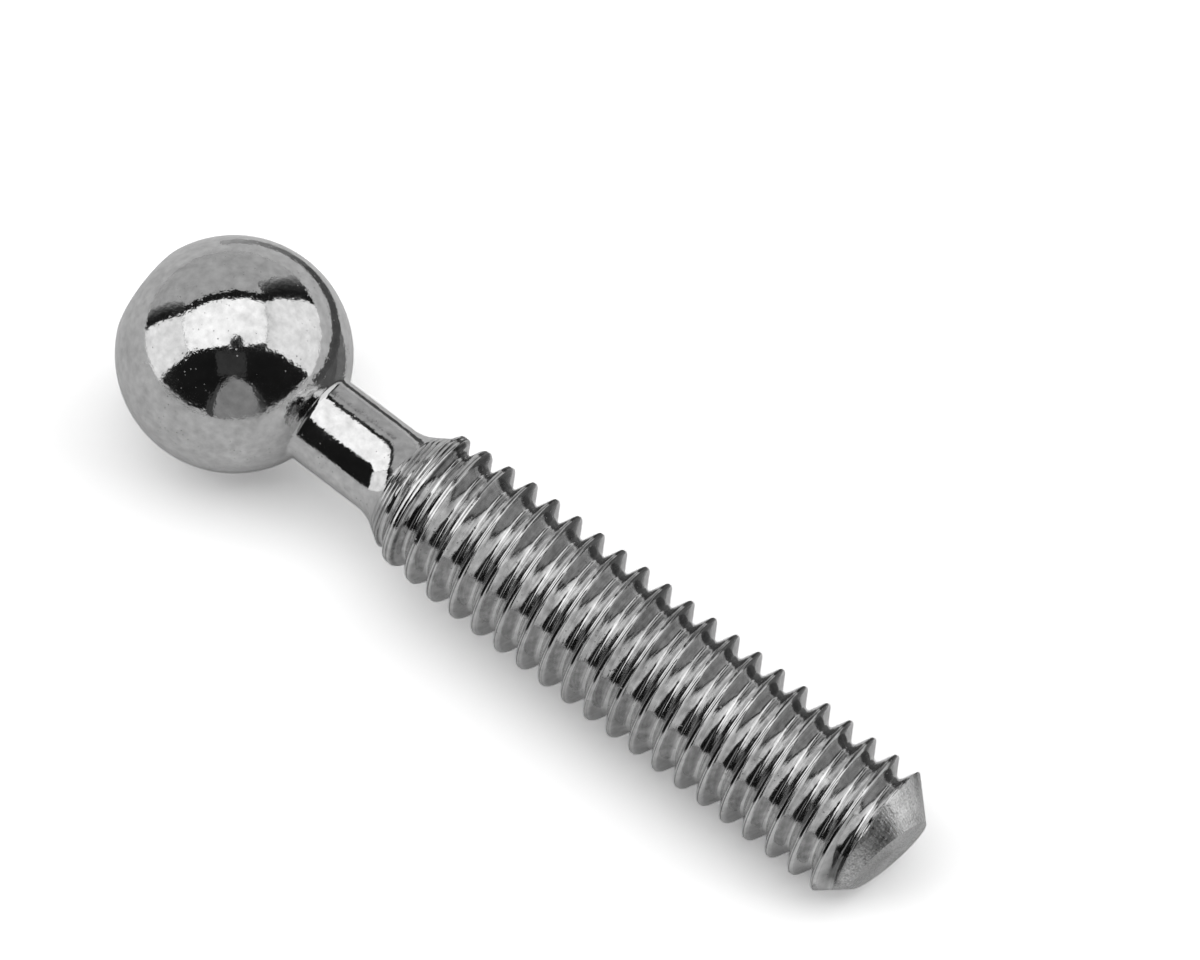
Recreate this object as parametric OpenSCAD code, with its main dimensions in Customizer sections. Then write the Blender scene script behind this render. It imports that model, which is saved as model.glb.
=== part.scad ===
// Threaded ball stud: a ball on a plain neck that flares into a right-hand threaded shank.
// The stud lies as it comes to rest, on its ball and on the last full crest of its thread.
// The origin is the ball's centre and the shank points along +X.

/* [Ball] */
// Diameter of the ball
ball_d = 5.9; // [4:0.1:10]
// Diameter of the flat on the ball's far pole
flat_d = 2.9; // [0.5:0.1:3.5]

/* [Socket] */
// Width across the flats of the hex socket in the ball's far pole
socket_w = 2; // [0.9:0.1:3]
// Depth of the hex socket down to its drill point
socket_depth = 1.9; // [0.5:0.1:2.5]

/* [Neck] */
// Diameter of the plain neck
neck_d = 2.35; // [1.6:0.05:3]
// Length of the plain neck between its two fillets
neck_len = 2; // [0.5:0.1:6]
// Fillet between the ball and the neck
ball_fillet = 0.15; // [0.05:0.05:0.4]
// Radius of the hollow flare from the neck up to the thread
flare_r = 1.1; // [0.6:0.1:1.5]

/* [Thread] */
// Diameter over the crests
thread_d = 3.84; // [3.5:0.02:6]
// Distance from one crest to the next
pitch = 0.7; // [0.5:0.05:1]
// Length of the thread from the flare to the middle of the cropped end
thread_len = 15.2; // [8:0.1:25]
// How much lower the first crest stands than the full ones
runout_drop = 0.13; // [0.05:0.01:0.25]
// Length over which the crests fill out to their full height
runout_len = 2.3; // [0.5:0.1:3]
// Turn of the thread about the shank
thread_turn = 101; // [0:1:359]

/* [Cropped end] */
// Diameter of the flat across the cropped end
tip_d = 2.35; // [1.2:0.05:2.8]
// Angle between the chamfer and the shank
chamfer_angle = 42; // [35:1:50]
// How far the chamfer leans to one side
chamfer_lean = 3.5; // [0:0.5:6]
// How far the cropped end is out of square
end_skew = 12; // [0:0.5:14]
// Side of the shank on which the cropped end stands furthest out, from straight down
end_turn = 98; // [0:1:359]

/* [Hidden] */
$fn = 96;

// Thread form: a 60 degree ridge, with its crest an eighth of the pitch wide
thread_r = thread_d / 2;
thread_depth = 0.6134 * pitch;
crest_w = pitch / 8;
flank_w = thread_depth * tan(30);
runout_r = thread_r - runout_drop;

// Ball and neck, measured along the shank from the ball's centre
ball_r = ball_d / 2;
flat_z = -sqrt(ball_r ^ 2 - (flat_d / 2) ^ 2);
neck_r = neck_d / 2;
neck_z = sqrt((ball_r + ball_fillet) ^ 2 - (neck_r + ball_fillet) ^ 2);
fillet_tilt = atan2(neck_r + ball_fillet, neck_z);

// Hex socket: it leaves a rim around its corners and a wall between its drill point and the neck
rim_share = 0.85;
wall_share = 0.7;
drill_angle = 59;
mouth_cut = 0.12;
socket_r = min(socket_w / sqrt(3), rim_share * flat_d / 2);
drill_r = socket_r * cos(30);
drill_rise = drill_r / tan(drill_angle);
socket_len = min(socket_depth, wall_share * (neck_z - flat_z) - drill_rise);
mouth_r = min(drill_r + 2 * mouth_cut, (socket_r + flat_d / 2) / 2);
mouth_len = mouth_r - drill_r;

// Flare: a hollow arc that leaves the neck and ends in a cone, below the first crest
cone_angle = 32;
flare_share = 0.8;
flare_room = flare_share * (runout_r - neck_r) / (1 - cos(cone_angle));
flare_fit = min(flare_r, flare_room);
flare_z = neck_z + neck_len;
flare_end_z = flare_z + flare_fit * sin(cone_angle);
flare_end_r = neck_r + flare_fit * (1 - cos(cone_angle));
first_rise = runout_r - flare_end_r;

// Run-out: the threaded part leaves the cone a little steeper, then steps up to the first crest
leave_angle = 34;
crest_angle = 58;
seat_share = 0.25;
cone_share = 0.29;
step_share = 0.62;
root_share = 0.8;
seat_r = flare_end_r + seat_share * first_rise;
seat_z = flare_end_z + (seat_r - flare_end_r) / tan(cone_angle);
step_r = flare_end_r + step_share * first_rise;
step_z = seat_z + (step_r - seat_r) / tan(leave_angle);
root_r = root_share * neck_r;
root_z = seat_z - (seat_r - root_r) / tan(crest_angle);
runout_z = step_z + (runout_r - step_r) / tan(crest_angle);
cone_end = cone_share * first_rise;
cone_end_z = flare_end_z + cone_end / tan(cone_angle);

// Cropped end: a chamfer that leans a little, then a cut that is out of square
tip_z = flare_end_z + thread_len;
chamfer_z = tip_z - (thread_r - tip_d / 2) / tan(chamfer_angle);
point_rise = tip_d / 2 / tan(chamfer_angle);
chamfer_h = tip_z + point_rise;
end_rise = thread_r * tan(end_skew);
crest_gap = 0.02;

// Lying on a table, the ball and the last full crest touch it
rest_tilt = asin((ball_r - thread_r) / chamfer_z);

// Helical surface: rows follow the ridge, and columns stand around the shank
ridge = [[-crest_w / 2, 1], [crest_w / 2, 1], [crest_w / 2 + flank_w, 0], [pitch - crest_w / 2 - flank_w, 0]];
ridge_rows = len(ridge);
turn_steps = 36;
first_z = root_z - pitch;
turns_total = ceil((tip_z + end_rise - first_z) / pitch) + 1;
row_total = ridge_rows * turns_total;
fade_start = 0.6;
fade_turns = 1.5;
fade_z = flare_end_z - fade_start * pitch;
fade_len = fade_turns * pitch;
shut_share = 0.3;
shut_turns = 0.2;
shut_z = chamfer_z + shut_share * (tip_z - chamfer_z);
shut_len = shut_turns * pitch;
arc_steps = 24;

// Points of an arc about c, from angle a to angle b
function arc(c, r, a, b) = [
    for (i = [0 : arc_steps])
        let (t = a + (b - a) * i / arc_steps)
        c + r * [cos(t), sin(t)]
];

// Outline of the ball, neck and flare: radius first, then distance along the shank
function head_outline() = concat(
    [[0, flat_z]],
    arc([0, 0], ball_r, -acos(flat_d / ball_d), 90 - fillet_tilt),
    arc([neck_r + ball_fillet, neck_z], ball_fillet, 270 - fillet_tilt, 180),
    arc([neck_r + flare_fit, flare_z], flare_fit, 180, 180 - cone_angle),
    [[flare_end_r + cone_end, cone_end_z], [0, cone_end_z]]
);

// Outline that the thread fills: it leaves the flare and fills out
function shank_outline() = [
    [0, root_z],
    [root_r, root_z],
    [seat_r, seat_z],
    [step_r, step_z],
    [runout_r, runout_z],
    [thread_r + crest_gap, runout_z + runout_len],
    [thread_r + crest_gap, tip_z + end_rise],
    [0, tip_z + end_rise]
];

// Depth of the groove, which fades in behind the flare and is pressed shut at the chamfer
function groove_depth(z) = thread_depth * max(0, min(1, (z - fade_z) / fade_len, (shut_z - z) / shut_len));

function thread_point(row, step) =
    let (
        form = ridge[row % ridge_rows],
        turns = floor(row / ridge_rows) + step / turn_steps,
        z = first_z + turns * pitch + form[0],
        r = thread_r - (1 - form[1]) * groove_depth(first_z + (turns + 0.5) * pitch),
        angle = 360 * step / turn_steps
    )
    [r * cos(angle), r * sin(angle), z];

// A row that has gone once around the shank is the same row one turn further on
function thread_index(row, step) = step < turn_steps
    ? step * row_total + row
    : thread_index(row + ridge_rows, step - turn_steps);

module thread_rod() {
    points = [
        for (step = [0 : turn_steps - 1])
            for (row = [0 : row_total - 1])
                thread_point(row, step)
    ];
    low = len(points);
    high = low + 1;
    last = row_total - 1;
    top = last - ridge_rows;
    seam = turn_steps - 1;
    sides = [
        for (step = [0 : seam])
            for (row = [0 : (step < seam ? last : top) - 1])
                each [
                    [thread_index(row, step), thread_index(row + 1, step + 1), thread_index(row, step + 1)],
                    [thread_index(row, step), thread_index(row + 1, step), thread_index(row + 1, step + 1)]
                ]
    ];
    low_cap = concat(
        [for (step = [0 : seam]) [low, thread_index(0, step), thread_index(0, step + 1)]],
        [for (row = [0 : ridge_rows - 1]) [low, thread_index(row + 1, 0), thread_index(row, 0)]]
    );
    high_cap = concat(
        [for (step = [0 : seam - 1]) [high, thread_index(last, step + 1), thread_index(last, step)]],
        [[high, thread_index(last, 0), thread_index(top, seam)]],
        [for (row = [top : last - 1]) [high, thread_index(row, seam), thread_index(row + 1, seam)]]
    );
    ends = [[0, 0, first_z + pitch / 2], [0, 0, first_z + (turns_total - 0.5) * pitch]];
    polyhedron(concat(points, ends), concat(sides, low_cap, high_cap));
}

// Cone of the chamfer, wide enough at its foot to clear the rest of the shank
module chamfer_cone() {
    rotate([0, 0, end_turn])
        translate([0, 0, tip_z])
            rotate([0, -chamfer_lean, 0])
                translate([0, 0, point_rise - chamfer_h])
                    cylinder(r1 = chamfer_h * tan(chamfer_angle), r2 = 0, h = chamfer_h);
}

// What is cropped off the end of the shank
module end_offcut() {
    rotate([0, 0, end_turn])
        translate([0, 0, tip_z])
            rotate([0, -end_skew, 0])
                translate([-thread_d, -thread_d, 0])
                    cube([2 * thread_d, 2 * thread_d, thread_d]);
}

module shank() {
    difference() {
        intersection() {
            rotate([0, 0, thread_turn])
                thread_rod();
            rotate_extrude()
                polygon(shank_outline());
            chamfer_cone();
        }
        end_offcut();
    }
}

// Hex socket with a drill point at its floor and a lead-in at its mouth
module drive_socket() {
    translate([0, 0, flat_z]) {
        translate([0, 0, -mouth_cut])
            cylinder(r = socket_r, h = mouth_cut + socket_len, $fn = 6);
        translate([0, 0, socket_len])
            cylinder(r1 = drill_r, r2 = 0, h = drill_rise);
        translate([0, 0, -mouth_cut])
            cylinder(r1 = mouth_r + mouth_cut, r2 = drill_r, h = mouth_len + mouth_cut);
    }
}

module head() {
    difference() {
        rotate_extrude()
            polygon(head_outline());
        drive_socket();
    }
}

module ball_stud() {
    color("silver")
        rotate([0, 90 + rest_tilt, 0])
            union() {
                head();
                shank();
            }
}

ball_stud();
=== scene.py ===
import math

import bmesh
import bpy
import numpy as np
from mathutils import Matrix, Vector


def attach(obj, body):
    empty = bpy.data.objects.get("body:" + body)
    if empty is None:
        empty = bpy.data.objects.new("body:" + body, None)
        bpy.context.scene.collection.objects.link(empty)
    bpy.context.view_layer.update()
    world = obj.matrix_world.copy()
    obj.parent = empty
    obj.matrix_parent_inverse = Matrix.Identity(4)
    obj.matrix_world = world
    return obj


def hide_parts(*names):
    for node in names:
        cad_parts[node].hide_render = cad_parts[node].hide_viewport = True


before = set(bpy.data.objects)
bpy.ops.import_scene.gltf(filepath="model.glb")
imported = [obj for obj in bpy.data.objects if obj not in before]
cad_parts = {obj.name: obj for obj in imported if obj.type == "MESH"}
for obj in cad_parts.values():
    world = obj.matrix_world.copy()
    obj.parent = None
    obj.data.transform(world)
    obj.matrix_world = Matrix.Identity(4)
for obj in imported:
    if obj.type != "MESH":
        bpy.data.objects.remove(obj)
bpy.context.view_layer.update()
scene = bpy.context.scene
scene.view_settings.view_transform = "Standard"
mm = 0.001
print("frame loaded")


# a socket in a node tree, so that shader maths reads as plain sums
class Wire:
    def __init__(self, tree, socket=None):
        self.tree = tree
        self.socket = socket

    def add(self, kind, settings=None, values=None, out=0):
        made = self.tree.nodes.new(kind)
        for name, value in (settings or {}).items():
            setattr(made, name, value)
        for name, value in (values or {}).items():
            if isinstance(value, Wire):
                self.tree.links.new(value.socket, made.inputs[name])
            else:
                made.inputs[name].default_value = value
        return Wire(self.tree, made.outputs[out]) if len(made.outputs) else None

    def outputs(self):
        # every output of the node that this socket is on
        return [Wire(self.tree, socket) for socket in self.socket.node.outputs]

    def sums(self, operation, first, second=0.0, third=0.0):
        return self.add("ShaderNodeMath", {"operation": operation}, {0: first, 1: second, 2: third})

    def __add__(self, other):
        return self.sums("ADD", self, other)

    def __radd__(self, other):
        return self.sums("ADD", other, self)

    def __sub__(self, other):
        return self.sums("SUBTRACT", self, other)

    def __rsub__(self, other):
        return self.sums("SUBTRACT", other, self)

    def __mul__(self, other):
        return self.sums("MULTIPLY", self, other)

    def __rmul__(self, other):
        return self.sums("MULTIPLY", other, self)

    def high(self, other):
        return self.sums("MAXIMUM", self, other)

    def step(self, low, high):
        # 0 below low, 1 above high, smooth between
        return self.add("ShaderNodeMapRange", {"interpolation_type": "SMOOTHSTEP"},
                        {"Value": self, "From Min": low, "From Max": high})


def newFinish(name):
    finish = bpy.data.materials.new(name)
    finish.use_nodes = True
    finish.node_tree.nodes.clear()
    return finish, Wire(finish.node_tree)


def addObject(mesh, finish):
    made = bpy.data.objects.new(mesh.name, mesh)
    made.data.materials.append(finish)
    scene.collection.objects.link(made)
    return made


def tangent(angle):
    return math.tan(math.radians(angle))


# the stud in mm and degrees, with the sizes of the solid that it stands for
# places run along the shank from the ball's centre, and turns about it from straight down
stud = {
    "ballRadius": 2.95,
    "flatRadius": 1.45,
    "socketWidth": 2.0,  # across the flats
    "socketDepth": 1.9,
    "drillAngle": 59,
    "mouthCut": 0.24,
    "ballFillet": 0.15,
    "neckRadius": 1.175,
    "neckLength": 2.0,
    "flareRadius": 1.1,
    "flareAngle": 32,
    "crestRadius": 1.92,
    "crestShare": 1 / 16,  # half the crest's width, in pitches
    "pitch": 0.7,
    "depthShare": 0.6134,  # depth of the groove, in pitches
    "flankAngle": 30,
    "threadLength": 15.2,
    "threadTurn": 101,
    # run-out: where the first crest leaves the flare, in shares of its rise, and how steeply
    "coneShare": 0.29,
    "seatShare": 0.25,
    "stepShare": 0.62,
    "rootShare": 0.8,
    "leaveAngle": 34,
    "riseAngle": 58,
    "seatWall": 9.0,
    "runoutDrop": 0.13,
    "runoutLength": 2.3,
    "crestGap": 0.02,
    "fadeTurns": (0.6, 1.5),  # start before the flare's end and length of the fading groove, in pitches
    # cropped end
    "tipRadius": 1.175,
    "chamferAngle": 42,
    "chamferLean": 3.5,
    "endSkew": 12,
    "endTurn": 98,
    "shutShare": 0.353,  # where the last groove is pressed shut, in shares of the chamfer
    "shutTurns": 0.2,
    "fold": (0.22, 0.115, 0.025),  # painted shade at the end of that groove, for the slit where it is pressed shut: start and end before it is shut, soft edge
    "foldDepth": (0.5, 0.3),
    # small roundings where two forms meet, the first two in shares of the groove's depth
    "rootRound": 0.20,
    "crestRound": 0.05,
    "coverRound": 0.012,
    "chamferRound": 0.008,
    "flareRound": 0.02,
    "wornFade": 0.03,
    # rows and columns of the mesh
    "columns": 132,
    "ballRows": 84,
    "filletRows": 10,
    "neckRows": 5,
    "headEnd": 3.9,
    "drillRows": (0.3, 0.6, 0.96),
    "wallRows": 3,
    "flatRows": 4,
    "crestEase": 0.012,
    "flankRows": (0.12, 0.20),
    "rootRows": (-0.045, -0.02, 0, 0.025),
    "spare": 0.5,
    "sharpAngle": 32,
}


def studPlaces(size):
    # places and radii that follow from those sizes
    bend = math.radians(size["flareAngle"])
    hollow = size["neckRadius"] + size["ballFillet"]
    neckStart = math.sqrt((size["ballRadius"] + size["ballFillet"]) ** 2 - hollow ** 2)
    neckEnd = neckStart + size["neckLength"]
    flareEnd = neckEnd + size["flareRadius"] * math.sin(bend)
    flareTop = size["neckRadius"] + size["flareRadius"] * (1 - math.cos(bend))
    firstCrest = size["crestRadius"] - size["runoutDrop"]
    rise = firstCrest - flareTop
    seat = flareTop + size["seatShare"] * rise
    step = flareTop + size["stepShare"] * rise
    seatZ = flareEnd + (seat - flareTop) / math.tan(bend)
    stepZ = seatZ + (step - seat) / tangent(size["leaveAngle"])
    rootZ = seatZ - (seat - size["rootShare"] * size["neckRadius"]) / tangent(size["riseAngle"])
    fadeStart, fadeTurns = size["fadeTurns"]
    grooveDepth = size["depthShare"] * size["pitch"]
    tip = flareEnd + size["threadLength"]
    chamferZ = tip - (size["crestRadius"] - size["tipRadius"]) / tangent(size["chamferAngle"])
    return {
        "flatZ": -math.sqrt(size["ballRadius"] ** 2 - size["flatRadius"] ** 2),
        "hollow": hollow,
        "neckStart": neckStart,
        "neckEnd": neckEnd,
        "flareEnd": flareEnd,
        "coneRise": size["coneShare"] * rise,
        "firstCrest": firstCrest,
        "seat": seat,
        "seatZ": seatZ,
        "step": step,
        "stepZ": stepZ,
        "runoutZ": stepZ + (firstCrest - step) / tangent(size["riseAngle"]),
        "firstCrestZ": rootZ - size["pitch"],
        "crestHalf": size["crestShare"] * size["pitch"],
        "grooveDepth": grooveDepth,
        "flankRun": grooveDepth * tangent(size["flankAngle"]),
        "fadeZ": flareEnd - fadeStart * size["pitch"],
        "fadeLength": fadeTurns * size["pitch"],
        "shutZ": chamferZ + size["shutShare"] * (tip - chamferZ),
        "shutLength": size["shutTurns"] * size["pitch"],
        "tip": tip,
        "restTilt": math.asin((size["ballRadius"] - size["crestRadius"]) / chamferZ),
    }


stud.update(studPlaces(stud))


def softMin(a, b, k):
    h = np.clip(0.5 + 0.5 * (b - a) / k, 0, 1)
    return b + (a - b) * h - k * h * (1 - h)


def softMax(a, b, k):
    return -softMin(-a, -b, k)


def headOutline(size):
    # radius and place along the shank, from the rim of the flat round the ball to the neck
    ballRadius, fillet, start = size["ballRadius"], size["ballFillet"], size["neckStart"]
    rim = math.asin(size["flatRadius"] / ballRadius)
    foot = math.atan2(size["hollow"], start)
    sweep = np.linspace(rim, math.pi - foot, size["ballRows"])
    bend = np.linspace(1.5 * math.pi - foot, math.pi, size["filletRows"])[1:]
    ball = [(ballRadius * math.sin(a), -ballRadius * math.cos(a)) for a in sweep]
    curve = [(size["hollow"] + fillet * math.cos(a), start + fillet * math.sin(a)) for a in bend]
    neck = [(size["neckRadius"], z) for z in np.linspace(start, size["headEnd"], size["neckRows"])[1:]]
    return ball + curve + neck


def threadRows(size):
    # places of the grid's rows within one pitch, close together where the thread turns
    crest = size["crestHalf"]
    root = crest + size["flankRun"]
    near = [0, crest - size["crestEase"], crest + size["crestEase"], *size["flankRows"]]
    near += [root + row for row in size["rootRows"]]
    return near + [size["pitch"] / 2] + [size["pitch"] - row for row in reversed(near[1:])]


def chamferRadius(size, turn, z):
    # a cone that leans to one side about the middle of the cropped face
    lean, widen = math.radians(size["chamferLean"]), tangent(size["chamferAngle"])
    past = z - size["tip"]
    towards = np.cos(turn - math.radians(size["endTurn"])) * math.sin(lean)
    upright = past * math.cos(lean)
    reach = size["tipRadius"] - widen * upright
    square = 1 - towards ** 2 * (1 + widen ** 2)
    half = towards * (upright - widen * reach)
    rest = past ** 2 - upright ** 2 - reach ** 2
    return (np.sqrt(np.maximum(half ** 2 - square * rest, 0)) - half) / square


def shankRadius(size, turn, z, offset):
    # flare, first crest that leaves it, full thread and chamfer, all in one, where it is worn, and where the
    # last groove's slit gets a painted shade
    slope = tangent(size["flareAngle"])
    rise = np.clip(z - size["neckEnd"], 0, size["flareEnd"] - size["neckEnd"])
    flare = size["neckRadius"] + size["flareRadius"] - np.sqrt(size["flareRadius"] ** 2 - rise ** 2)
    flare = flare + np.clip((z - size["flareEnd"]) * slope, 0, size["coneRise"])
    coneEnd = size["flareEnd"] + size["coneRise"] / slope

    # how far out the thread may reach behind the flare
    leave, steep = tangent(size["leaveAngle"]), tangent(size["riseAngle"])
    full = np.clip((z - size["runoutZ"]) / size["runoutLength"], 0, 1)
    cover = size["firstCrest"] + (size["runoutDrop"] + size["crestGap"]) * full
    climb = np.where(z < size["stepZ"], leave, steep)
    cover = np.minimum(size["step"] + (z - size["stepZ"]) * climb, cover)
    climb = np.where(z < size["seatZ"], steep, size["seatWall"])
    cover = np.minimum(size["seat"] + (z - size["seatZ"]) * climb, cover)

    # the groove fades in behind the flare and is pressed shut at the chamfer
    side = (np.abs(offset) - size["crestHalf"]) / size["flankRun"]
    drop = softMax(softMin(side, 1, size["rootRound"]), 0, size["crestRound"])
    groove = z - offset + np.where(offset < 0, -0.5, 0.5) * size["pitch"]
    ahead = size["shutZ"] - groove
    fade = np.clip((groove - size["fadeZ"]) / size["fadeLength"], 0, 1)
    shut = np.clip(ahead / size["shutLength"], 0, 1)
    thread = size["crestRadius"] - size["grooveDepth"] * fade * shut * drop
    thread = softMin(thread, cover, size["coverRound"])
    chamfer = chamferRadius(size, turn, z)
    worn = np.clip((thread - chamfer) / size["wornFade"], 0, 1)
    thread = softMin(thread, chamfer, size["chamferRound"])

    # mask for the painted shade in the slit where the last groove is pressed shut
    start, end, soft = size["fold"]
    depth, reach = size["foldDepth"]
    fold = np.clip((start - ahead) / soft, 0, 1) * np.clip((ahead - end) / soft, 0, 1)
    fold = fold * np.clip((drop - depth) / reach, 0, 1)
    return np.where(z > coneEnd, thread, softMax(flare, thread, size["flareRound"])), worn, fold


def cropEnd(mesh, size):
    # cuts the shank off a little out of square and closes it
    skew, side = math.radians(size["endSkew"]), math.radians(size["endTurn"])
    cut = (-math.sin(skew) * math.cos(side), -math.sin(skew) * math.sin(side), math.cos(skew))
    form = bmesh.new()
    form.from_mesh(mesh)
    everything = form.verts[:] + form.edges[:] + form.faces[:]
    bmesh.ops.bisect_plane(form, geom=everything, dist=1e-6, plane_co=(0, 0, size["tip"]), plane_no=cut,
                           clear_outer=True)
    bmesh.ops.edgeloop_fill(form, edges=[edge for edge in form.edges if edge.is_boundary])
    bmesh.ops.recalc_face_normals(form, faces=form.faces[:])
    for face in form.faces:
        face.smooth = True
    form.to_mesh(mesh)
    form.free()


def studMesh(size):
    columns, pitch = size["columns"], size["pitch"]
    turn = 2 * math.pi * np.arange(columns) / columns
    points, faces = [], []
    marks = {"worn": [], "deep": [], "fold": []}  # what the finish reads at each point

    def addPoints(radius, z, **shown):
        start = len(points)
        radius, z, around = np.broadcast_arrays(radius, z, turn)
        points.extend(zip((radius * np.cos(around)).ravel(), (radius * np.sin(around)).ravel(), z.ravel()))
        for name, values in marks.items():
            values.extend(np.broadcast_to(shown.get(name, 0.0), z.shape).ravel())
        return start

    # hex socket in the pole, from its drill point out to the flat, then the ball and neck
    inside = size["socketWidth"] / 2
    mouth = inside + size["mouthCut"]
    hexWall = inside / np.cos(turn % (math.pi / 3) - math.pi / 6)
    flatZ = size["flatZ"]
    floorZ = flatZ + size["socketDepth"]
    mouthZ = flatZ + mouth - hexWall
    drillRise = inside / tangent(size["drillAngle"])
    steps = size["wallRows"]
    rings = [(inside * share, floorZ + drillRise * (1 - share)) for share in size["drillRows"]]
    rings += [(hexWall, floorZ + (mouthZ - floorZ) * row / steps) for row in range(steps)]
    deepRows = len(rings)
    rings.append((hexWall, mouthZ))
    rings += [(radius, flatZ) for radius in np.linspace(mouth, size["flatRadius"], size["flatRows"])]
    rings += headOutline(size)[1:]
    points.append((0, 0, floorZ + drillRise))
    for name, values in marks.items():
        values.append(float(name == "deep"))
    last = addPoints(*rings[0], deep=1.0)
    faces.extend((0, last + j, last + (j + 1) % columns) for j in range(columns))
    for row, (radius, z) in enumerate(rings[1:], 1):
        here = addPoints(radius, z, deep=float(row < deepRows))
        for j in range(columns):
            k = (j + 1) % columns
            faces.append((last + j, here + j, here + k, last + k))
        last = here

    # each row climbs one pitch on its way round, so crests and roots run along the grid
    places = np.array(threadRows(size))
    rows = len(places)
    firstZ = size["firstCrestZ"] - pitch * size["threadTurn"] / 360
    turns = math.ceil((size["tip"] + size["spare"] - firstZ) / pitch) + 1
    rowZ = (firstZ + pitch * np.arange(turns)[:, None] + places).ravel()
    offset = np.tile((places + pitch / 2) % pitch - pitch / 2, turns)[:, None]
    z = rowZ[:, None] + pitch * turn / (2 * math.pi)
    radius, worn, fold = shankRadius(size, turn, z, offset)
    base = addPoints(radius, z, worn=worn, fold=fold)

    def spot(row, column):
        return base + row * columns + column if column < columns else base + (row + rows) * columns

    total = len(rowZ)
    for row in range(total - 1):
        for j in range(columns if row + 1 + rows < total else columns - 1):
            faces.append((spot(row, j), spot(row + 1, j), spot(row + 1, j + 1), spot(row, j + 1)))

    # the neck's last ring meets the first row, which comes round one pitch higher
    faces.extend((last + j, spot(0, j), spot(0, j + 1), last + j + 1) for j in range(columns - 1))
    corner = spot(0, columns - 1)
    seam = [spot(row, 0) for row in range(rows, -1, -1)]
    faces.extend((corner, upper, lower) for upper, lower in zip(seam, seam[1:]))
    faces.append((last + columns - 1, corner, seam[-1], last))

    mesh = bpy.data.meshes.new("ballStud")
    mesh.from_pydata(np.array(points).tolist(), [], faces)
    for name, values in marks.items():
        mesh.attributes.new(name, "FLOAT", "POINT").data.foreach_set("value", np.array(values, np.float32))
    cropEnd(mesh, size)
    mesh.transform(Matrix.Scale(mm, 4) @ Matrix.Rotation(math.pi / 2 + size["restTilt"], 4, "Y"))
    mesh.set_sharp_from_angle(angle=math.radians(size["sharpAngle"]))
    return mesh


# bright plating with fine waves, mottling and dust, rolled lines on the thread, and dull steel at the end
# a noise is given by its scale and detail, a drawn-out one by its spread, pull and detail
plating = {
    "grey": 0.68,
    "roughness": 0.06,
    "mottle": (4200.0, 3.0),
    "mottleShade": 0.46,
    "cloud": (900.0, 3.0),
    "cloudRange": (0.40, 0.70),
    "cloudShade": 0.06,
    "hazeRoughness": 0.12,
    "hazeBase": 0.4,
    "dustScale": 6200.0,
    "dustRange": (0.07, 0.19),
    "dustPatch": (1300.0, 1.0),
    "dustPatchRange": (0.46, 0.56),
    "dustShade": 0.14,
    "dustRoughness": 0.38,
    "waves": (3400.0, 3.0),
    "fine": (9500.0, 2.0),
    # thread
    "threadLead": 0.5,
    "lines": (3.2, 0.35, 3.0),
    "lineRange": (0.3, 0.7),
    "lineRoughness": (0.4, 1.2),
    "threadRoughness": 0.09,
    "ridges": (1.3, 0.5, 0.5),
    "edgeRange": (0.50, 0.85),
    "backRange": (0.2, 0.6),
    # painted shade along the seam in the middle of each crest
    "seamRange": (0.984, 0.997),
    "seamShade": 0.36,
    "flankGrey": 0.51,
    "crestGrey": 0.75,
    "scoreRange": (0.3, 0.6),
    "scoreShade": 0.20,
    # shallow grooves rolled into the run-out
    "rolledFrom": (5.34, 5.60),
    "rolledTo": (6.20, 6.80),
    "ripples": 6,
    "rippleDrift": 2.0,
    "ridgeDrift": 1.6,
    # painted shade in the troughs of those grooves
    "grooveRange": (-0.9, -0.1),
    "grooveShade": 0.30,
    # socket
    "socketGrey": 0.50,
    "socketMottle": 0.3,
    "socketRoughness": 0.32,
    "socketGrain": 0.2,
    # chamfer and cropped end
    "streaks": (24.0, 4.5, 4.0),
    "smudge": (1500.0, 4.0),
    "grit": (20000.0, 3.0),
    "bareStart": 0.55,
    "bareRange": (0.25, 0.75),
    "bareGrey": 0.66,
    "bareRoughness": 0.30,
    # bare steel darker towards one side, about 255 degrees round from straight down
    "darkSideTurn": 255,
    "darkSidePull": 0.5,
    "darkSideRange": (0.55, 1.05),
    "darkSideShade": 0.19,
    "streakShade": 0.40,
    "smudgeShade": 0.70,
    "gritShade": 1.10,
    "streakRoughness": 0.25,
    # painted shade in the slit at the end of the last groove
    "foldShade": 0.72,
    # heights of the bump, in shares of the waves
    "waveHeight": 5.5e-6,
    "fineRelief": 0.4,
    "calm": 0.7,
    "dustRelief": 0.3,
    "flankRelief": 0.12,
    "lineRelief": 0.85,
    "rippleRelief": 0.9,
    "ridgeRelief": 1.2,
    "streakRelief": 1.4,
    "smudgeRelief": 1.2,
    "grainRelief": 1.2,
    "gritRelief": 0.9,
}


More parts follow.
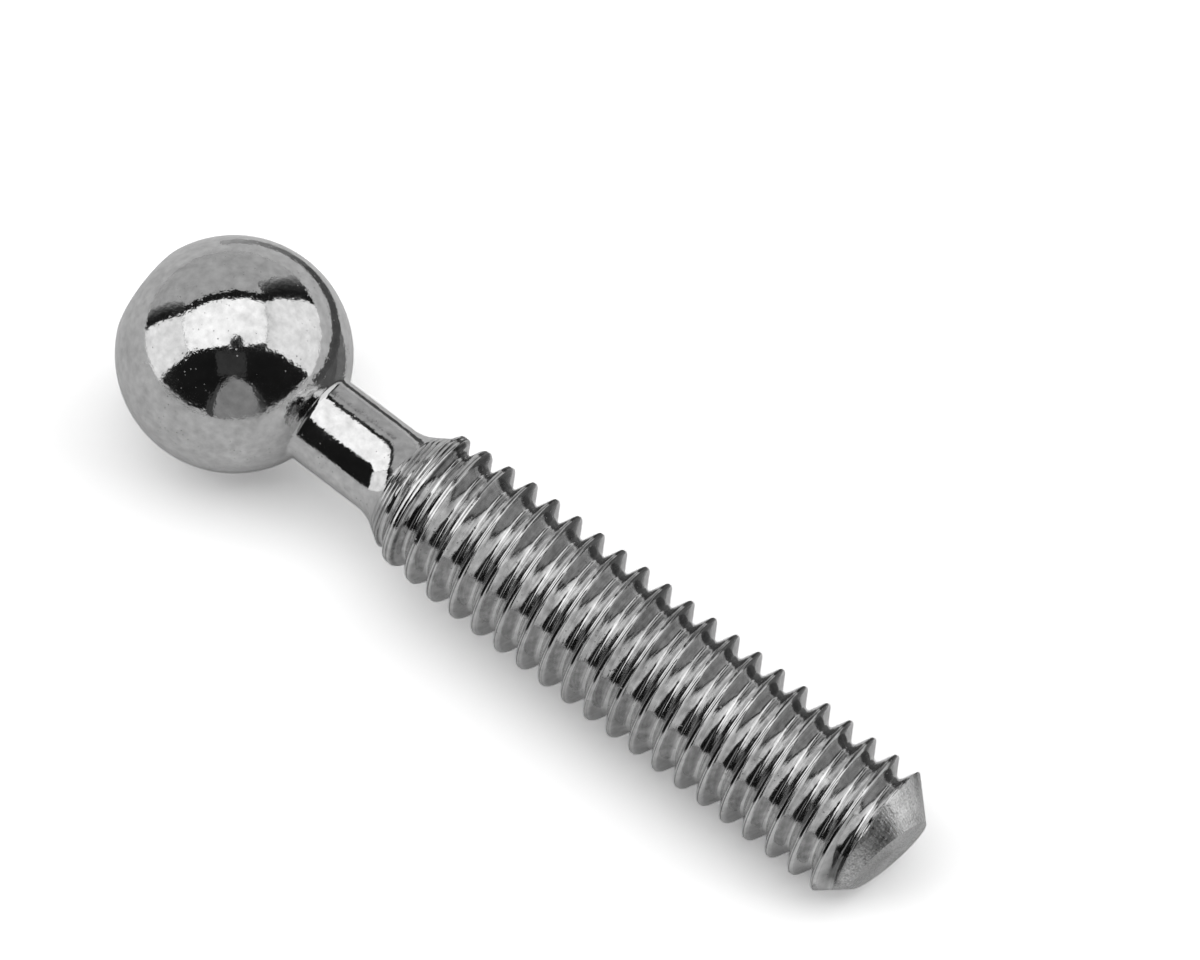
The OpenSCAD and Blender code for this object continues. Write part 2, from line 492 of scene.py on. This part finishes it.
def platedSteel(look, size):
    finish, wire = newFinish("brightPlating")
    place = wire.add("ShaderNodeTexCoord", out="Object")

    # along the shank in mm, the turn about it, and the turn on the thread
    tilt = size["restTilt"]
    x, y, z = wire.add("ShaderNodeSeparateXYZ", None, {0: place}).outputs()
    along = (x * math.cos(tilt) - z * math.sin(tilt)) * (1 / mm)
    below = 0 - x * math.sin(tilt) - z * math.cos(tilt)
    turn = wire.sums("ARCTAN2", y, below)
    helix = along * (2 * math.pi / size["pitch"]) - turn

    def noise(where, scale, detail):
        return wire.add("ShaderNodeTexNoise", None, {"Vector": where, "Scale": scale, "Detail": detail})

    def drawnOut(angle, spread, pull, detail):
        across, beside = wire.sums("COSINE", angle), wire.sums("SINE", angle)
        where = {0: across * spread, 1: beside * spread, 2: along * pull}
        return noise(wire.add("ShaderNodeCombineXYZ", None, where), 1.0, detail)

    def mark(name):
        return wire.add("ShaderNodeAttribute", {"attribute_name": name}, out="Fac")

    # crests, roots and the flanks towards the ball carry lines, and the other flank is smooth
    lines = drawnOut(helix, *look["lines"])
    ridges = drawnOut(helix, *look["ridges"])
    crestTurn = 2 * math.pi * size["firstCrestZ"] / size["pitch"] - math.radians(size["threadTurn"])
    onCrest = wire.sums("COSINE", helix - crestTurn)
    offCrest = wire.sums("SINE", helix - crestTurn)
    edges = wire.sums("ABSOLUTE", onCrest).step(*look["edgeRange"])
    edges = edges.high((0 - offCrest).step(*look["backRange"]))
    # a thin line in the middle of each crest, which gets a painted shade for its seam
    seam = onCrest.step(*look["seamRange"])
    threaded = along.step(size["neckEnd"] + look["threadLead"], size["flareEnd"] + look["threadLead"])
    rolled = along.step(*look["rolledFrom"]) * (1 - along.step(*look["rolledTo"]))
    ripple = wire.sums("SINE", helix * look["ripples"] + look["rippleDrift"] * ridges)

    # plain plating: mottled grey, hazy patches, waves in the surface and specks of dust
    cloud = noise(place, *look["cloud"]).step(*look["cloudRange"])
    mottle = noise(place, *look["mottle"])
    waves = noise(place, *look["waves"])
    fine = noise(place, *look["fine"])
    cells = wire.add("ShaderNodeTexVoronoi", {"feature": "F1"}, {"Vector": place, "Scale": look["dustScale"]})
    patches = noise(place, *look["dustPatch"]).step(*look["dustPatchRange"])
    dust = (1 - cells.step(*look["dustRange"])) * patches
    shade = look["grey"] + look["mottleShade"] * (mottle - 0.5)
    shade = shade - look["cloudShade"] * cloud - look["dustShade"] * dust
    haze = (look["hazeRoughness"] - look["roughness"]) * cloud * (look["hazeBase"] + fine)
    rough = look["roughness"] + haze + look["dustRoughness"] * dust

    # rolled thread: paler edges with dark scores, a painted shade along the crest's seam and painted shade in
    # the troughs of the run-out's grooves
    scored = edges * (1 - lines.step(*look["scoreRange"]))
    rolledGrey = look["flankGrey"] + (look["crestGrey"] - look["flankGrey"]) * edges
    rolledGrey = rolledGrey - look["scoreShade"] * scored
    shade = shade + threaded * (rolledGrey - look["grey"] - look["seamShade"] * seam)
    # painted shade in the troughs of the run-out's grooves
    ridge = (ripple + look["ridgeDrift"] * (ridges - 0.5)).step(*look["grooveRange"])
    shade = shade - look["grooveShade"] * rolled * (1 - ridge)
    least, more = look["lineRoughness"]
    lined = (look["threadRoughness"] - look["roughness"]) * (least + more * lines.step(*look["lineRange"]))
    rough = rough + threaded * lined

    # the socket is thinly plated, so it is duller
    deep = mark("deep")
    shade = shade + deep * (look["socketGrey"] + look["socketMottle"] * (mottle - 0.5) - shade)
    rough = rough + deep * (look["socketRoughness"] + look["socketGrain"] * (fine - 0.5) - rough)

    # bare steel: short streaks that run from the last crest to the cropped face, with smudges and grain
    streak = drawnOut(turn, *look["streaks"])
    smudge = noise(place, *look["smudge"])
    grit = noise(place, *look["grit"])
    bare = (mark("worn") * (look["bareStart"] + smudge)).step(*look["bareRange"])
    # darker towards one side of the bare steel, blended with the smudges
    towardsDarkSide = wire.sums("COSINE", turn - math.radians(look["darkSideTurn"]))
    darkSide = (smudge + look["darkSidePull"] * towardsDarkSide).step(*look["darkSideRange"])
    dull = look["bareGrey"] - look["darkSideShade"] * darkSide + look["streakShade"] * (streak - 0.5)
    dull = dull + look["smudgeShade"] * (smudge - 0.5) + look["gritShade"] * (grit - 0.5)
    shade = shade + bare * (dull - shade)
    rough = rough + bare * (look["bareRoughness"] + look["streakRoughness"] * (streak - 0.5) - rough)
    shade = shade * (1 - look["foldShade"] * mark("fold"))  # painted shade where the last groove ends in a slit

    relief = (waves + look["fineRelief"] * fine) * (1 - look["calm"] * threaded.high(rolled))
    relief = relief - look["dustRelief"] * dust
    relief = relief + threaded * (look["flankRelief"] + look["lineRelief"] * edges) * lines
    relief = relief + rolled * (look["rippleRelief"] * ripple + look["ridgeRelief"] * ridges)
    coarse = look["streakRelief"] * streak + look["smudgeRelief"] * smudge
    relief = relief + bare * (coarse + look["grainRelief"] * fine + look["gritRelief"] * grit)
    bump = wire.add("ShaderNodeBump", None,
                    {"Strength": 1.0, "Distance": look["waveHeight"], "Height": relief})
    tone = wire.add("ShaderNodeCombineColor", None, {0: shade, 1: shade, 2: shade})
    metal = wire.add("ShaderNodeBsdfPrincipled", None,
                     {"Base Color": tone, "Metallic": 1.0, "Roughness": rough, "Normal": bump})
    wire.add("ShaderNodeOutputMaterial", None, {"Surface": metal})
    return finish


ballStud = addObject(studMesh(stud), platedSteel(plating, stud))
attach(ballStud, "root")
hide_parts("ball_stud")
print("stud built, triangles", sum(len(f.vertices) - 2 for f in ballStud.data.polygons))


# a white table under a low tent of three lit panels, open at its front and back
# the tent, table, backdrop and cards are in shares of the tent's height, the painted shade strips beside the
# stud in mm
studio = {
    "floorZ": -stud["ballRadius"] * mm,
    "heading": 38.27,
    "tentTurn": 5.6,
    "tentHeight": 0.30,
    "tentCentre": (-0.22, 0.157),
    "topHalf": 0.85,
    "baseHalf": 1.18,
    "front": -0.50,
    "sideFront": -0.58,
    "rear": 0.37,
    "panelGap": 0.012,
    "panelLight": 1.29,
    "sideLight": 1.03,
    "rearBars": (0.42, 0.22, 0.62),  # left, top, right
    "barSteps": 6,
    "barFade": 3,
    "knob": (0.26, -0.43, 0.985, 0.10),  # x, y, z, radius
    "tableReach": 2.0,
    "tableGrey": 0.85,
    "tableMirrored": 1.0,
    "tableSeen": 2.25,
    "mirroredFade": (0.12, 0.40),  # m from the stud
    "seenFade": (0.05, 0.15),
    "backdrop": (3.0, 1.5, 2.2),  # half width, distance, height
    "backdropLight": 0.47,
    "kerb": (2.4, 0.115, -175, -5, 24),  # radius, height, first and last angle, points
    "archCards": (  # name, half width, middle, distance, height, light
        ("greyCard", 0.36, 0.07, -1.0, 0.80, 0.28),
        ("darkCard", 0.50, 0.07, -1.05, 0.86, 0.06),
    ),
    "archFoot": 0.10,
    "roundSteps": 17,
    # a dark wall and dark strips on the table, seen only in reflections: painted shade and shadow beside the
    # stud
    "shadeWall": (-1, 22, 8, 2.2),  # left, right, distance, height
    "shadeWallFade": (6, 1.2),  # steps, length of each
    "shadeWallLight": 0.08,
    "paintedShadowStrips": (  # left, right, near, far, light
        (4.2, 7, 3.9, 8, 0.18),
        (7, 22, 3.7, 4.0, 0.25),
        (7, 22, 4.0, 4.4, 0.16),
        (7, 22, 4.4, 8, 0.11),
    ),
    "shadowStripLift": 0.02,
    "roomRadius": 1.4,
    "roomGrey": 0.011,
}


def between(first, second, share):
    return first + (second - first) * share


def glow(name, strength):
    finish, wire = newFinish(name)
    light = wire.add("ShaderNodeEmission", None, {"Color": (1, 1, 1, 1), "Strength": strength})
    wire.add("ShaderNodeOutputMaterial", None, {"Surface": light})
    return finish


def whitePaper(plan):
    # white paper, exposed so that the camera sees it just clear to white and its shadow stays
    finish, wire = newFinish("whiteTable")
    kinds = ("Is Camera Ray", "Is Glossy Ray", "Is Transmission Ray")
    camera, glossy, through = [wire.add("ShaderNodeLightPath", out=kind) for kind in kinds]
    mirrored = glossy.high(through)

    def paper(grey):
        return wire.add("ShaderNodeBsdfDiffuse", None, {"Color": (grey, grey, grey, 1)})

    def lit(strength):
        return wire.add("ShaderNodeEmission", None, {"Strength": strength})

    def mix(share, first, second):
        return wire.add("ShaderNodeMixShader", None, {0: share, 1: first, 2: second})

    # far off, the table goes over into the white round it, or into the backdrop in reflections
    place = wire.add("ShaderNodeTexCoord", out="Object")
    away = wire.add("ShaderNodeVectorMath", {"operation": "LENGTH"}, {0: place}, out="Value")
    surface = mix(mirrored, paper(plan["tableGrey"]), paper(plan["tableMirrored"]))
    surface = mix(mirrored * away.step(*plan["mirroredFade"]), surface, lit(plan["backdropLight"]))
    surface = mix(camera, surface, paper(plan["tableSeen"]))
    surface = mix(camera * away.step(*plan["seenFade"]), surface, lit(1.0))
    wire.add("ShaderNodeOutputMaterial", None, {"Surface": surface})
    return finish


def stagePiece(mesh, finish, seen=False, lights=True):
    made = addObject(mesh, finish)
    made.visible_camera = seen
    made.visible_diffuse = lights
    made.visible_shadow = lights


def card(name, corners, finish, stand, faces=None, **shown):
    mesh = bpy.data.meshes.new(name)
    mesh.from_pydata([stand @ Vector(c) for c in corners], [], faces or [tuple(range(len(corners)))])
    stagePiece(mesh, finish, **shown)


def level(left, right, near, far, z):
    return [(left, near, z), (right, near, z), (right, far, z), (left, far, z)]


def upright(left, right, away, low, high):
    return [(left, away, low), (right, away, low), (right, away, high), (left, away, high)]


def buildTent(plan, tent, low, dark):
    top, base, rear, gap = plan["topHalf"], plan["baseHalf"], plan["rear"], plan["panelGap"]
    steps = plan["barSteps"]

    def leaning(side, near, far, high):
        upper, lower = side * top, side * base
        return [(upper, near, high), (upper, far, high), (lower, far, low), (lower, near, low)]

    lit, sideLit = glow("tentTop", plan["panelLight"]), glow("tentSide", plan["sideLight"])
    card("tentTop", level(gap - top, top - gap, plan["front"], rear, 1), lit, tent)

    # behind each side panel a dark bar fades into the backdrop
    shares = [(i / steps) ** plan["barFade"] for i in range(steps)]
    strengths = [between(plan["roomGrey"], plan["backdropLight"], share) for share in shares]
    shades = [glow("barShade%d" % i, strength) for i, strength in enumerate(strengths)]
    leftBar, topBar, rightBar = plan["rearBars"]
    for name, side, bar in (("Left", -1, leftBar), ("Right", 1, rightBar)):
        card("tent" + name, leaning(side, plan["sideFront"], rear, 1 - gap), sideLit, tent)
        for i, shade in enumerate(shades):
            near, far = rear + bar * i / steps, rear + bar * (i + 1) / steps
            card("bar%s%d" % (name, i), leaning(side, near, far, 1), shade, tent, lights=False)
    card("barTop", level(-top, top, rear, rear + topBar, 1), dark, tent, lights=False)
    x, y, z, radius = plan["knob"]
    angles = np.linspace(0, 2 * math.pi, plan["roundSteps"])[1:]
    knob = [(x + radius * math.cos(a), y + radius * math.sin(a), z) for a in angles]
    card("lampKnob", knob, dark, tent, lights=False)


def buildTable(plan, room, low):
    reach = plan["tableReach"]
    card("whiteTable", level(-reach, reach, -reach, reach, low), whitePaper(plan), room, seen=True)
    wide, away, high = plan["backdrop"]
    hung = glow("backdrop", plan["backdropLight"])
    card("backdrop", upright(-wide, wide, away, low, high), hung, room, lights=False)

    # a low pale kerb at the table's front edge, and two cards with round tops that stand there
    radius, high, first, last, count = plan["kerb"]
    kerb = [(radius * math.cos(a), radius * math.sin(a)) for a in np.radians(np.linspace(first, last, count))]
    points = [(x, y, z) for z in (low, high) for x, y in kerb]
    faces = [(i, i + 1, i + count + 1, i + count) for i in range(count - 1)]
    card("kerb", points, hung, room, faces, lights=False)
    angles = np.linspace(0, math.pi, plan["roundSteps"])
    for name, half, middle, away, high, light in plan["archCards"]:
        arch = [(middle + half * math.cos(a), away, plan["archFoot"] + high * math.sin(a)) for a in angles]
        arch = [(middle + half, away, low)] + arch + [(middle - half, away, low)]
        card(name, arch, glow(name, light), room, lights=False)


def buildPaintedShade(plan):
    # a low dark wall along the far side of the stud, seen only in reflections, draws its upper edge as
    # painted shade and dark strips on the table, seen only in reflections, draw its upper roots as painted
    # shadow
    stand = Matrix.Scale(mm, 4)
    foot = plan["floorZ"] / mm
    left, right, away, high = plan["shadeWall"]
    steps, length = plan["shadeWallFade"]
    ends = [(left, right)] + [(left - length * (i + 1), left - length * i) for i in range(steps)]
    for i, (near, far) in enumerate(ends):
        name = "paintedShadeWall%d" % i
        light = between(plan["shadeWallLight"], plan["backdropLight"], i / (steps + 1))
        card(name, upright(near, far, away, foot, foot + high), glow(name, light), stand, lights=False)
    for left, right, near, far, light in plan["paintedShadowStrips"]:
        corners = level(left, right, near, far, foot + plan["shadowStripLift"])
        card("paintedFloorShadow", corners, glow("paintedFloorShadow", light), stand, lights=False)


def closeRoom(plan, dark):
    shell = bmesh.new()
    bmesh.ops.create_icosphere(shell, subdivisions=4, radius=plan["roomRadius"])
    mesh = bpy.data.meshes.new("darkRoom")
    shell.to_mesh(mesh)
    shell.free()
    stagePiece(mesh, dark)
    world = bpy.data.worlds.new("studioWorld")
    world.use_nodes = True
    world.node_tree.nodes.clear()
    wire = Wire(world.node_tree)
    air = wire.add("ShaderNodeBackground", None, {"Color": (1, 1, 1, 1), "Strength": 1.0})
    wire.add("ShaderNodeOutputWorld", None, {"Surface": air})
    scene.world = world


def buildStudio(plan):
    up = plan["tentHeight"]
    low = plan["floorZ"] / up
    x, y = plan["tentCentre"]
    room = Matrix.Rotation(math.radians(plan["heading"]), 4, "Z") @ Matrix.Scale(up, 4)
    tent = room @ Matrix.Translation((x, y, 0)) @ Matrix.Rotation(math.radians(plan["tentTurn"]), 4, "Z")
    dark = glow("darkRoom", plan["roomGrey"])
    buildTent(plan, tent, low, dark)
    buildTable(plan, room, low)
    buildPaintedShade(plan)
    closeRoom(plan, dark)


buildStudio(studio)
print("studio built")


# camera over the table, looking down on the stud from its thread side; place and body in mm, turns in degrees
view = {
    "lens": 214.26,
    "sensor": 36,
    "clip": (0.005, 10),
    "place": (53.508, -57.027, 158.631),
    "heading": 36.4603,
    "tilt": 25.1789,
    "roll": 2.0,
    "body": (-52, 36, -66, 7),  # left, right, low, high
    "bodyLight": 0.045,
}


def addCamera(shot):
    heading, tilt, roll = [math.radians(shot[name]) for name in ("heading", "tilt", "roll")]
    stand = Matrix.Translation(Vector(shot["place"]) * mm) @ Matrix.Rotation(heading, 4, "Z")
    stand = stand @ Matrix.Rotation(tilt, 4, "X") @ Matrix.Rotation(roll, 4, "Z")
    data = bpy.data.cameras.new("tableCamera")
    data.lens = shot["lens"]
    data.sensor_width = shot["sensor"]
    data.sensor_fit = "HORIZONTAL"
    data.clip_start, data.clip_end = shot["clip"]
    made = bpy.data.objects.new("tableCamera", data)
    scene.collection.objects.link(made)
    made.matrix_world = stand
    scene.camera = made

    # the camera's own body, dark grey in the middle of the ball
    finish = glow("cameraBody", shot["bodyLight"])
    card("cameraBody", level(*shot["body"], 0), finish, stand @ Matrix.Scale(mm, 4), lights=False)


addCamera(view)
print("camera set")
